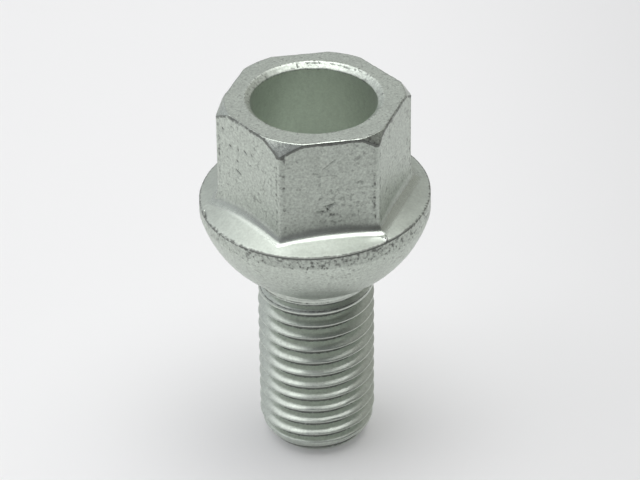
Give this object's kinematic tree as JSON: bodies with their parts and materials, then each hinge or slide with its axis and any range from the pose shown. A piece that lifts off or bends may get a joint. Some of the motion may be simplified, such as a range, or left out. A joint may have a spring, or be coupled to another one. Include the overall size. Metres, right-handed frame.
{
  "type": "wheel bolt",
  "caption": "Zinc-plated wheel bolt with a hollow hexagon head, a conical flange, a forged-on ball seat and a threaded shank with a rounded end.",
  "frame": {"origin": "centre of the threaded end face, on the bolt's axis, where the bolt stands", "axes": "+Z along the bolt's axis from the threaded end to the head; the hexagon has corners on +X and -X and flats towards +Y and -Y"},
  "size_m": [0.0232, 0.0232, 0.04],
  "materials": {
    "zinc_plated_steel": "dull, slightly green-grey zinc plate on forged steel, satin, with burnished edges"
  },
  "bodies": {
    "root": {"wheel_bolt": "zinc_plated_steel"}
  },
  "joints": []
}
